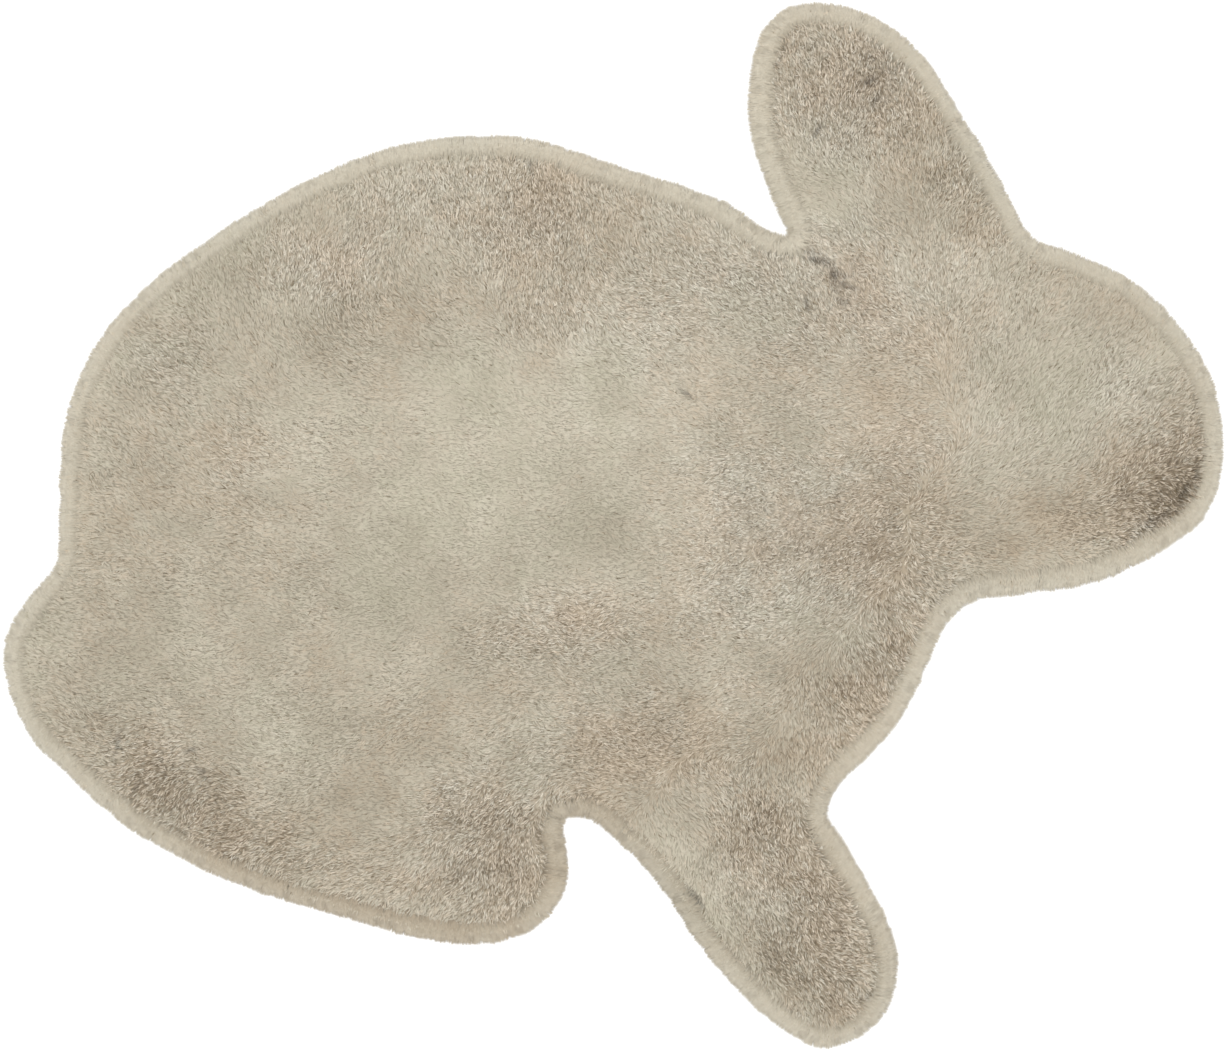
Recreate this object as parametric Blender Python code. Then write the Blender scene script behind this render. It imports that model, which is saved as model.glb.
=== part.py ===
"""Faux fur floor rug for a child's room, cut to the outline of a sitting rabbit.

The rug is one piece of thick pile cloth that lies flat. Its solid is a lumpy slab: a flat
underside, a rim of short fur locks that lie on the floor, a round shoulder where the pile
falls over the cut edge, and a softly uneven top with one parting behind the ear.

Units are metres, +Z is up. The origin is on the floor under the middle of the rug, +X runs
from the tail to the nose and +Y from the paws to the ear.
"""

import math
from collections import namedtuple

import bmesh
import bpy
import numpy as np
from mathutils import Vector, noise
from mathutils.geometry import delaunay_2d_cdt, interpolate_bezier

MM = 0.001

# Driving dimensions
PILE_HEIGHT = 22 * MM  # floor to the top of the standing fur
RIM_HEIGHT = 1.4 * MM  # thickness of a lock's tip where it lies on the floor
UNDERCUT = 0.6 * MM  # the underside stops this far inside the tips
SHOULDER_WIDTH = 27 * MM  # from the tips to where the pile stands at full height
SHOULDER_POWER = 1.8  # 1 is a straight slope, 2 is a quarter ellipse

# Fur locks round the rim
LOCK_COUNT = 300
LOCK_REACH_MEAN = 3.6 * MM  # from a lock's root to its tip
LOCK_REACH_SPREAD = 1.6 * MM
LOCK_SHORTFALL = 1.3 * MM  # the shortest tips stop this far inside the outline
LOCK_SWEEP = 0.22  # how far a tip leans along the rim, as a share of the pitch
LOCK_SEED = 7
LOCK_GROOVE = 2.0 * MM  # depth of the groove between two locks on the shoulder
GROOVE_END = 17 * MM  # where the grooves have run out, from the rim inwards

# Rows of points on the shoulder: distance from the rim, and rim points for each one kept
ShoulderRow = namedtuple("ShoulderRow", "inset keep_every")
SHOULDER_ROWS = (
    ShoulderRow(5 * MM, 1),
    ShoulderRow(11 * MM, 1),
    ShoulderRow(18 * MM, 2),
    ShoulderRow(27 * MM, 3),
)

# The top of the pile
TOP_PITCH = 14.5 * MM  # distance between neighbouring points
TOP_MARGIN = 35 * MM  # these points start this far inside the rim
SWELL_SIZE = 95 * MM
SWELL_HEIGHT = 3.0 * MM
SWELL_SLICE = 0.3  # which slice of the noise shapes them
TUFT_SIZE = 30 * MM
TUFT_HEIGHT = 3.6 * MM
TUFT_SLICE = 5.7

# The parting that runs from the notch behind the ear towards the cheek
PARTING_START = Vector((0.157, 0.222))
PARTING_END = Vector((0.214, 0.172))
PARTING_DEPTH = 6 * MM
PARTING_HALF_WIDTH = 9 * MM
PARTING_STEPS = 10
PARTING_CLEARANCE = 12 * MM  # no other point of the top lies nearer than this

FUR_COLOUR = (0.51, 0.455, 0.365, 1.0)
FUR_ROUGHNESS = 0.95
SHARP_ANGLE = math.radians(50)  # edges that turn more than this are shaded sharp

# Outline, clockwise seen from above. Headings are in degrees from +X, as the outline
# arrives at a landmark and leaves it. They differ only at a notch.
Landmark = namedtuple("Landmark", "name x_mm y_mm arrives leaves")


def smooth(name, x_mm, y_mm, heading):
    return Landmark(name, x_mm, y_mm, heading, heading)


OUTLINE = (
    smooth("ear_tip", 152, 428, 9),
    smooth("ear_front_top", 239, 401, -40),
    smooth("ear_front", 293, 326, -57),
    Landmark("ear_root", 341, 236, -65, -18),
    smooth("brow", 416, 207, -29),
    smooth("nose_bridge", 481, 141, -57),
    smooth("nose", 499.5, 51, -96),
    smooth("mouth", 469, -8, -145),
    smooth("chin", 409, -41, -157),
    smooth("throat_upper", 325, -56, -174),
    smooth("throat", 291, -64, -152),
    smooth("chest_upper", 265, -96, -113),
    smooth("chest", 243, -144, -119),
    smooth("chest_low", 197, -200, -141),
    Landmark("elbow", 175, -238, -98, -57),
    smooth("foreleg_front", 213, -301, -60),
    smooth("paw_front", 232.5, -375, -99),
    smooth("paw", 181, -427.5, -168),
    smooth("paw_back", 133, -408, 144),
    smooth("foreleg_back", 73, -346, 129),
    smooth("foreleg_middle", 39, -295, 128),
    smooth("belly", -14, -243, 141),
    Landmark("belly_notch", -45, -240, -165, -76),
    smooth("toe_front", -39, -294, -104),
    smooth("heel", -111, -343, -179),
    smooth("sole", -239, -316, 165),
    smooth("sole_back", -311, -293, 160),
    smooth("haunch_low", -379, -259, 152),
    smooth("rump_low", -467, -186, 138),
    smooth("tail_low", -496, -134, 108),
    smooth("tail", -497, -88, 71),
    smooth("tail_top", -467, -44, 48),
    Landmark("tail_root", -456, -29, 62, 86),
    smooth("rump", -454, 48, 90),
    smooth("rump_high", -415, 162, 54),
    smooth("back_low", -320, 243, 34),
    smooth("back", -184, 310, 16),
    smooth("back_top", -95, 320, 0),
    smooth("shoulder", 4, 295, -19),
    smooth("neck", 91, 266, -27),
    smooth("nape", 122, 245, -36),
    Landmark("ear_notch", 146, 238, 0, 118),
    smooth("ear_back", 121, 295, 113),
    smooth("ear_back_top", 111, 348, 90),
    smooth("ear_left", 121, 402, 69),
)
CURVE_STEPS = 24  # points on the curve between two landmarks


def clear_scene():
    for old in list(bpy.data.objects):
        bpy.data.objects.remove(old)


def arc_like_curve(start, end):
    """Points from one landmark up to the next, with the handles that a circular arc would have."""
    p = Vector((start.x_mm, start.y_mm)) * MM
    q = Vector((end.x_mm, end.y_mm)) * MM
    turn = math.radians((end.arrives - start.leaves + 180) % 360 - 180)
    handle = (q - p).length / (3 * math.cos(turn / 4) ** 2)
    leave, arrive = math.radians(start.leaves), math.radians(end.arrives)
    p_handle = p + handle * Vector((math.cos(leave), math.sin(leave)))
    q_handle = q - handle * Vector((math.cos(arrive), math.sin(arrive)))
    return interpolate_bezier(p, p_handle, q_handle, q, CURVE_STEPS)[:-1]


def outline_points():
    points = []
    for start, end in zip(OUTLINE, OUTLINE[1:] + OUTLINE[:1]):
        points += arc_like_curve(start, end)
    return np.array([p[:2] for p in points])


def evenly_spaced(closed_line, count):
    """count points at equal steps along a closed line, and the outward direction at each."""
    ring = np.vstack([closed_line, closed_line[:1]])
    along = np.concatenate([[0], np.cumsum(np.linalg.norm(np.diff(ring, axis=0), axis=1))])
    at = np.linspace(0, along[-1], count, endpoint=False)
    points = np.stack([np.interp(at, along, ring[:, axis]) for axis in (0, 1)], axis=1)
    tangent = np.roll(points, -1, axis=0) - np.roll(points, 1, axis=0)
    tangent /= np.linalg.norm(tangent, axis=1)[:, None]
    outward = np.stack([-tangent[:, 1], tangent[:, 0]], axis=1)
    return points, outward, tangent


def distance_to(line, points):
    """Distance from each point to the nearest point of a closely spaced line."""
    gaps = points[:, None, :] - line[None, :, :]
    return np.sqrt((gaps**2).sum(axis=2).min(axis=1))


def jagged_rim(rim, outward, tangent):
    """Rim points in turn are a lock's root and its tip. The tips stay close to the outline."""
    random = np.random.default_rng(LOCK_SEED)
    pitch = np.linalg.norm(rim[1] - rim[0]) * 2
    reach = LOCK_REACH_MEAN + LOCK_REACH_SPREAD * random.uniform(-1, 1, LOCK_COUNT)
    shortfall = LOCK_SHORTFALL * random.uniform(0, 1, LOCK_COUNT)
    sweep = LOCK_SWEEP * pitch * random.uniform(-1, 1, LOCK_COUNT)
    jagged = rim.copy()
    jagged[0::2] -= outward[0::2] * (reach + shortfall)[:, None]
    jagged[1::2] -= outward[1::2] * shortfall[:, None]
    jagged[1::2] += tangent[1::2] * sweep[:, None]
    return jagged


def top_points(outline):
    """A triangular lattice over the pile's top, clear of the shoulder and of the parting."""
    low, high = outline.min(axis=0), outline.max(axis=0)
    row_step = TOP_PITCH * math.sqrt(3) / 2
    lattice = []
    for row, y in enumerate(np.arange(low[1], high[1], row_step)):
        shift = TOP_PITCH / 2 * (row % 2)
        lattice += [(x, y) for x in np.arange(low[0] + shift, high[0], TOP_PITCH)]
    lattice = np.array(lattice)
    lattice = lattice[inside(outline, lattice)]
    lattice = lattice[distance_to(outline, lattice) > TOP_MARGIN]
    return lattice[distance_to(parting_line(), lattice) > PARTING_CLEARANCE]


def inside(closed_line, points):
    """Whether each point is inside a closed line, by counting the sides that lie to its right."""
    crossings = np.zeros(len(points), int)
    for (x0, y0), (x1, y1) in zip(closed_line, np.roll(closed_line, -1, axis=0)):
        spans = (y0 > points[:, 1]) != (y1 > points[:, 1])
        if spans.any():
            side_x = x0 + (points[:, 1] - y0) / (y1 - y0) * (x1 - x0)
            crossings += spans & (points[:, 0] < side_x)
    return crossings % 2 == 1


def parting_line():
    steps = np.linspace(0, 1, PARTING_STEPS)[:, None]
    return np.array(PARTING_START) * (1 - steps) + np.array(PARTING_END) * steps


def parting_points():
    """The parting's bottom and its two lips."""
    along = (PARTING_END - PARTING_START).normalized()
    across = np.array((-along.y, along.x)) * PARTING_HALF_WIDTH
    middle = parting_line()
    return np.vstack([middle, middle + across, middle - across])


def shoulder_height(inset):
    """Height of the pile at this distance from the rim, on a smooth curve up to its full height."""
    share = np.clip(inset / SHOULDER_WIDTH, 0, 1)
    rise = (1 - (1 - share) ** SHOULDER_POWER) ** (1 / SHOULDER_POWER)
    return RIM_HEIGHT + (PILE_HEIGHT - RIM_HEIGHT) * rise


def lumps(points, inset):
    """Broad swells and smaller tufts, which fade out towards the rim."""
    fade = np.clip(inset / SHOULDER_WIDTH, 0, 1)
    height = [
        SWELL_HEIGHT * noise.noise((x / SWELL_SIZE, y / SWELL_SIZE, SWELL_SLICE))
        + TUFT_HEIGHT * noise.noise((x / TUFT_SIZE, y / TUFT_SIZE, TUFT_SLICE))
        for x, y in points
    ]
    return np.array(height) * fade


def parting_drop(points):
    """How far the parting lowers the pile. It is deepest at the notch and runs out at its end."""
    middle = parting_line()
    gaps = np.linalg.norm(points[:, None, :] - middle[None, :, :], axis=2)
    nearest = gaps.argmin(axis=1)
    wall = np.clip(1 - gaps.min(axis=1) / PARTING_HALF_WIDTH, 0, 1)
    run_out = 1 - nearest / len(middle)
    return PARTING_DEPTH * wall * run_out


def groove_drop(inset):
    return LOCK_GROOVE * np.clip(1 - inset / GROOVE_END, 0, 1)


def pile_surface():
    """Points of the fur's surface with the rim's first, and how many lie on the rim."""
    outline = outline_points()
    rim, outward, tangent = evenly_spaced(outline, 2 * LOCK_COUNT)
    plan = [jagged_rim(rim, outward, tangent)]
    height = [np.full(len(rim), RIM_HEIGHT)]
    for row in SHOULDER_ROWS:
        kept = np.arange(0, len(rim), row.keep_every)
        points = rim[kept] - outward[kept] * row.inset
        is_root = kept % 2 == 0
        inset = np.full(len(kept), row.inset)
        plan.append(points)
        height.append(
            shoulder_height(inset) - groove_drop(inset) * is_root + lumps(points, inset)
        )
    middle = np.vstack([top_points(outline), parting_points()])
    inset = distance_to(outline, middle)
    plan.append(middle)
    height.append(shoulder_height(inset) + lumps(middle, inset) - parting_drop(middle))
    return np.vstack(plan), np.concatenate(height), len(rim)


def triangulated(plan, rim_count):
    """Triangles over the plan's points, bounded by the rim, which comes first in the list."""
    keep_inside_faces = 1
    same_point = 1e-6
    rim_face = list(range(rim_count))
    corners = [Vector(p) for p in plan]
    points, _, faces, origins, _, _ = delaunay_2d_cdt(
        corners, [], [rim_face], keep_inside_faces, same_point
    )
    if len(points) != len(plan):
        raise ValueError("two points of the plan coincide, or the rim crosses itself")
    first = [origin[0] for origin in origins]
    return [[first[corner] for corner in face] for face in faces]


def build_fur_slab():
    """The rug's solid: the triangulated pile, a thin wall under its rim and a flat underside."""
    plan, height, rim_count = pile_surface()
    shape = bmesh.new()
    top = [shape.verts.new((x, y, z)) for (x, y), z in zip(plan, height)]
    for face in triangulated(plan, rim_count):
        shape.faces.new([top[corner] for corner in face])
    rim = plan[:rim_count]
    _, outward, _ = evenly_spaced(outline_points(), rim_count)
    foot = [shape.verts.new((x, y, 0)) for x, y in rim - outward * UNDERCUT]
    for near in range(rim_count):
        far = (near + 1) % rim_count
        shape.faces.new((top[near], top[far], foot[far], foot[near]))
    shape.faces.new(foot)
    bmesh.ops.recalc_face_normals(shape, faces=shape.faces)
    mesh = bpy.data.meshes.new("fur_rug")
    shape.to_mesh(mesh)
    shape.free()
    mesh.shade_smooth()
    mesh.set_sharp_from_angle(angle=SHARP_ANGLE)
    return mesh


def fur_material():
    material = bpy.data.materials.new("beige_fur")
    material.use_nodes = True
    shader = material.node_tree.nodes["Principled BSDF"]
    shader.inputs["Base Color"].default_value = FUR_COLOUR
    shader.inputs["Roughness"].default_value = FUR_ROUGHNESS
    shader.inputs["Metallic"].default_value = 0.0
    return material


def build():
    clear_scene()
    collection = bpy.data.collections.new("rabbit_rug")
    bpy.context.scene.collection.children.link(collection)
    rug = bpy.data.objects.new("fur_rug", build_fur_slab())
    rug.data.materials.append(fur_material())
    collection.objects.link(rug)


build()
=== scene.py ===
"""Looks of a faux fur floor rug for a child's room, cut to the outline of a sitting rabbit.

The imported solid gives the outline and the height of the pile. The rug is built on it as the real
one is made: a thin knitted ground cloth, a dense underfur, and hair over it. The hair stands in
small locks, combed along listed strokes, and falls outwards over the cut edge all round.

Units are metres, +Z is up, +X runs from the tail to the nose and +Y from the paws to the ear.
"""

import math
from collections import namedtuple

import bmesh
import bpy
import numpy as np
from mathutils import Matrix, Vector
from mathutils.bvhtree import BVHTree
from mathutils.kdtree import KDTree


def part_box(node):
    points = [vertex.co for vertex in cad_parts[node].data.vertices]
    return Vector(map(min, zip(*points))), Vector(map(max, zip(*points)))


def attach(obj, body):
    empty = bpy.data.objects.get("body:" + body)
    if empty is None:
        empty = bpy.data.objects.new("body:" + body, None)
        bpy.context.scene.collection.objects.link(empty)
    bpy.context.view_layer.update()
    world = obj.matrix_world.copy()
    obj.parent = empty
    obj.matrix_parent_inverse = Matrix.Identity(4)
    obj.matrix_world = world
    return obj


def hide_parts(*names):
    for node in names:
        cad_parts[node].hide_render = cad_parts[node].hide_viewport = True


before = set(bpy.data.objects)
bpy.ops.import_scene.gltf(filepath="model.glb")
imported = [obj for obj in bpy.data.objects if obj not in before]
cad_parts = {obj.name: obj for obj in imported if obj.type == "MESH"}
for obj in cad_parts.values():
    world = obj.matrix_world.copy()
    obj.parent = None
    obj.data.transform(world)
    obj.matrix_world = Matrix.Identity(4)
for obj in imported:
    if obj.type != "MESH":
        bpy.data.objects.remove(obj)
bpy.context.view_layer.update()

MM = 0.001
SOLID = "fur_rug"
BODY = "root"

# A value of smooth fur, where ruffle is 0, and of ruffled fur, where ruffle is 1
Span = namedtuple("Span", "smooth ruffled")

# Smooth noise, up to strength both ways, with lumps of that size
Noise = namedtuple("Noise", "strength size seed")

# Rim and height of the pile, read from the solid
RIM_POINTS = 3400
RIM_SKIP = 10  # every tenth point is enough to tell inside from outside
ON_FLOOR = 0.1 * MM  # a corner of the solid below this height lies on the floor
ROUNDING = 6  # decimals, in metres, to which corners at one place agree
GRID_STEP = 2 * MM
GRID_MARGIN = 30 * MM
OUTWARD_BLURS = 12  # evens out the way outwards where the rim turns

# Ground cloth
CLOTH_INSET = 12 * MM  # the cut edge of the cloth lies this far inside the tips of the fur
CLOTH_THICKNESS = 1.4 * MM
CLOTH_LIFT = 0.1 * MM
CLOTH_POINTS = 720
LAYER_GAP = 0.1 * MM  # between the cloth and the underfur

# Underfur
UNDERFUR_SEED = 33
UNDERFUR_FLOOR = CLOTH_LIFT + CLOTH_THICKNESS + LAYER_GAP
UNDERFUR_LEAST = 1.5 * MM  # its least thickness
UNDERFUR_PITCH = 3.7 * MM
UNDERFUR_INSET = 9 * MM
UNDERFUR_DEPTH = Span(3.0 * MM, 7.2 * MM)  # below the tips of the hair
UNDERFUR_LUMPS = (Noise(0.9 * MM, 7 * MM, 31), Noise(0.7 * MM, 14 * MM, 32))
LUMP_SHARE = Span(0.3, 1.3)
UNDERFUR_PAINTED_SHADE = 0.1  # painted shade, in tone, where the fur is ruffled and the underfur lies deep between the tufts
UNDERFUR_SPECKS = Span(0.02, 0.22)
UNDERFUR_ALONG = 0.25  # it is coloured as a hair is, this share of the way from root to tip, so it takes part of the root's painted shade

# Locks of the body's hair. A spread gives the lowest and the highest value. Turn, twist, tone,
# warmth and lift say how much one lock or hair usually differs from the next.
LOCK_SEED = 41
BODY_HAIR_SEED = 42
LOCK_PITCH = 3.0 * MM
LOCK_HAIRS = 6
LOCK_LAYERS = 4  # the hair is shared out over this many pieces
LOCK_FADE = (9 * MM, 18 * MM)  # insets between which the locks give way to the rim's hair
LOCK_FADE_NOISE = (Noise(2 * MM, 5 * MM, 45),)
LOCK_JITTER = 0.42 * LOCK_PITCH
LOCK_SPREAD = 0.62 * LOCK_PITCH  # how far a lock's roots lie from its middle
LOCK_GATHER = Span(0.25, 0.7)  # share of that distance that is gone at the tips
LOCK_TURN = Span(9, 12)  # degrees
LOCK_TONE = Span(0.01, 0.13)
LOCK_WARMTH = 0.25
LOCK_LIFT = Span(0.03 * MM, 0.93 * MM)
LOCK_RUN_SPREAD = (0.75, 1.25)
EDGE_PALER = 0.1  # tone added near the rim
EDGE_BAND = (20 * MM, 45 * MM)  # insets between which that fades away

# Hairs of the locks
HAIR_RUN = Span(7.0 * MM, 5.5 * MM)  # how far a combed hair runs sideways
HAIR_RUN_SPREAD = (0.72, 1.12)
HAIR_TURN = Span(8, 12)  # degrees
STRAY_SHARE = 0.16  # share of hairs that cross the others
STRAY_TURN = 38  # degrees
HAIR_WIDTH = 0.78 * MM
HAIR_WIDTH_SPREAD = (0.75, 1.2)
RUFFLED_THINNER = 0.12  # share of its width that a ruffled hair loses
HAIR_TWIST = Span(5, 23)  # degrees
ROOT_DEPTH = 1.2 * MM  # the root sits this far below the underfur's surface
HAIR_LIFT = Span(0.05 * MM, 0.5 * MM)
TIP_DROP = 0.4 * MM  # below the solid's top
LEAST_RISE = 1.5 * MM  # from root to tip
BEND_ALONG = 0.48  # share of the run at which a hair bends and is widest
BEND_HEIGHT = 0.84  # share of the rise that it has gained there
BEND_SPREAD = Span(0.03, 0.1)
RUFFLED_PALER = 0.54  # tone added to ruffled hair, whose depth takes light away
HAIR_TONE = Span(0.01, 0.67)
HAIR_WARMTH = 0.2
SHADED_HAIR_SHARE = Span(0.01, 0.19)  # share of hairs painted dark as shade in the gaps between tufts
SHADED_HAIR_SPREAD = (0.5, 1.3)  # how much darker they are
# painted shade: tone taken off at a hair's root, as shade deep in the pile
ROOT_PAINTED_SHADE = Span(0.05, 0.75)
GAP_ALONG = 0.6  # a hair is in a gap where this share of its run is
GAP_SPREAD = (0.45, 1)  # share of the gap's shade that falls on a hair

# Hair of the rim, which lies over the locks' outer ends
RIM_SEED = 43
RIM_HAIRS = 94000
RIM_JITTER = 0.6 * MM
RIM_ROOTS = (7 * MM, 22 * MM)  # insets of the roots
RIM_CROWDING = 1.15  # above 1 the roots crowd towards the rim
RIM_WIDTH_NOISE = (Noise(0.08, 70 * MM, 46), Noise(0.08, 22 * MM, 44))
RIM_LOOK_IN = 6 * MM  # the way outwards is read this far inside the rim
RIM_TURN = 8  # degrees
RIM_TURN_NOISE = (Noise(9, 30 * MM, 51), Noise(4, 7 * MM, 52))  # degrees
RIM_OVERHANG = 2.2 * MM
RIM_OVERHANG_SPREAD = (-0.75, 1.65)
RIM_OVERHANG_NOISE = (Noise(0.25, 4 * MM, 53), Noise(0.2, 9 * MM, 54))
RIM_RUN_SPREAD = (10 * MM, 21 * MM)
RIM_HAIR_WIDTH = 0.95 * MM
RIM_WIDTH_SPREAD = (0.7, 1.15)
RIM_TWIST = 6  # degrees
RIM_RUFFLE_SHARE = 0.3  # how far the rim's roots follow the ruffled underfur
RIM_TIP_SPREAD = (-0.4 * MM, 0.9 * MM)
RIM_TIP_SURFACE = 0.8 * MM  # the tips keep to at least this height, before their spread
RIM_TIP_LEAST = 0.5 * MM  # and to this one after it
RIM_BEND_ALONG = 0.55
RIM_BEND_SPREAD = (-0.6 * MM, 0.5 * MM)
RIM_BEND_LEAST = 1 * MM
RIM_TONE = -0.72
RIM_OUTER_PALER = 0.32  # tone added to the hairs that end at the rim
RIM_OUTER_BAND = (0, 10.5 * MM)  # insets of a hair's tip between which that fades away
RIM_TONE_SPREAD = 0.03
RIM_WARMTH = 0.1
RIM_WARMTH_SPREAD = 0.12
RIM_BODY_TONE = 0.2  # share that the rim takes on from the body's tone
RIM_BODY_WARMTH = 0.3
# painted shade at the roots of the rim's hair
RIM_ROOT_PAINTED_SHADE = 0.1
RIM_GAP_SHADE = 0.7

# Combing: the hair leans towards the heading, in degrees from +X. Between strokes it turns
# from one to the next.
Stroke = namedtuple("Stroke", "name x_mm y_mm heading")
STROKES = (
    # Ear
    Stroke("ear_middle", 205, 340, 100),
    Stroke("ear_front", 270, 300, 95),
    Stroke("ear_back", 155, 310, 120),
    Stroke("ear_root_back", 165, 260, 155),
    Stroke("ear_root", 220, 250, 130),
    Stroke("ear_root_front", 285, 250, 85),
    # Head
    Stroke("crown", 315, 200, 75),
    Stroke("brow", 390, 185, 60),
    Stroke("forehead", 365, 130, 55),
    Stroke("cheek", 295, 105, 65),
    Stroke("cheek_low", 300, 45, 40),
    Stroke("muzzle_top", 450, 130, 60),
    Stroke("muzzle", 415, 70, 55),
    Stroke("nose", 475, 75, 30),
    Stroke("nose_low", 465, 15, -25),
    Stroke("jaw", 365, 5, 10),
    Stroke("jaw_low", 365, -35, 0),
    Stroke("throat", 285, -10, 5),
    # Neck, chest and shoulder
    Stroke("neck_top", 65, 240, 120),
    Stroke("nape_low", 95, 205, 150),
    Stroke("neck_back", 160, 195, 135),
    Stroke("neck", 210, 160, 145),
    Stroke("neck_low", 215, 125, 175),
    Stroke("neck_front_top", 255, 85, 180),
    Stroke("neck_front", 250, -60, -40),
    Stroke("chest", 220, -110, -70),
    Stroke("chest_low", 205, -150, -60),
    Stroke("breast", 210, -30, 190),
    Stroke("shoulder_front", 210, 70, 180),
    Stroke("shoulder_top_front", 135, 125, 180),
    Stroke("shoulder_top", 15, 260, 105),
    Stroke("shoulder_low", 160, -60, 200),
    Stroke("shoulder_under", 90, -80, 180),
    # Foreleg
    Stroke("elbow_back", 90, -155, 180),
    Stroke("elbow", 160, -190, -85),
    Stroke("foreleg_top", 110, -235, -80),
    Stroke("foreleg", 130, -290, -65),
    Stroke("foreleg_back", 70, -280, -75),
    Stroke("paw_front", 210, -340, -15),
    Stroke("paw_back", 120, -350, -65),
    Stroke("paw_tip", 180, -390, -55),
    # Side and belly
    Stroke("withers_top", 50, 165, 165),
    Stroke("withers", 65, 80, 175),
    Stroke("ribs", -10, 20, 175),
    Stroke("waist_front", 50, -125, 170),
    Stroke("waist", -35, -145, 175),
    Stroke("belly", 20, -190, 180),
    Stroke("belly_low", 65, -225, -40),
    Stroke("side_crown", -30, 125, 170),
    Stroke("side_top", -35, 160, 110),
    Stroke("side_back", -185, 105, 175),
    # Back and rump
    Stroke("loin", -135, 160, 150),
    Stroke("back_inner", -70, 205, 90),
    Stroke("back_crest", -135, 275, 105),
    Stroke("back", -200, 260, 80),
    Stroke("back_low", -250, 225, 80),
    Stroke("rump_top", -320, 200, 110),
    Stroke("rump_high", -380, 150, 145),
    Stroke("rump", -430, 70, 145),
    Stroke("rump_low", -430, -35, 165),
    Stroke("hip", -330, 70, 145),
    Stroke("hip_low", -330, -5, 160),
    Stroke("flank", -230, 20, 170),
    # Tail, haunch and hind foot
    Stroke("thigh", -255, -95, 180),
    Stroke("tail_low", -435, -175, 155),
    Stroke("haunch_back", -380, -175, 180),
    Stroke("haunch", -300, -200, 170),
    Stroke("haunch_low", -365, -235, 215),
    Stroke("haunch_under", -315, -250, 195),
    Stroke("knee", -110, -190, 185),
    Stroke("sole_top", -195, -240, 180),
    Stroke("sole_back", -265, -280, 200),
    Stroke("sole", -190, -290, 210),
    Stroke("heel", -135, -300, 230),
    Stroke("toe", -75, -275, 260),
    Stroke("toe_top", -100, -225, 215),
)
STROKE_REACH = 38 * MM
STROKE_CALM = 0.001  # keeps a stroke's pull finite at its own place
RIM_COMBED = (12 * MM, 30 * MM)  # the hair leans outwards at the first inset, as combed at the second

# How the hair swerves from its heading, in degrees, and how much more where it is ruffled
SWIRLS = (Noise(10, 40 * MM, 21), Noise(16, 13 * MM, 22), Noise(21, 6 * MM, 23))
RUFFLED_SWIRLS = (Noise(6, 40 * MM, 21), Noise(6, 13 * MM, 22), Noise(-3, 6 * MM, 23))

# How the fur differs from place to place. ruffle: 0 lies smooth, 1 stands in uneven streaks and
# shows its depth. tone: below 0 darker, above 0 paler. warmth: tan above 0, greenish grey below.
BASE_RUFFLE = 0.13
MOST_RUFFLE = 1.3
SMOOTH_DARKER = 0.29  # smooth fur throws back more light, so its own tone is lower
SMOOTH_POWER = 1.5
PATCH_FALL = 1.1  # how fast a patch fades with the square of the distance
PATCH_RAGGED = (Noise(0.35, 26 * MM, 11), Noise(0.25, 9 * MM, 12))
RUFFLE_NOISE = (Noise(0.12, 34 * MM, 13),)
TONE_NOISE = (Noise(0.1, 55 * MM, 14), Noise(0.1, 20 * MM, 15))
WARMTH_NOISE = (Noise(0.45, 60 * MM, 16), Noise(0.3, 18 * MM, 17))
Patch = namedtuple("Patch", "name x_mm y_mm length_mm width_mm turn ruffle tone warmth")
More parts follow.
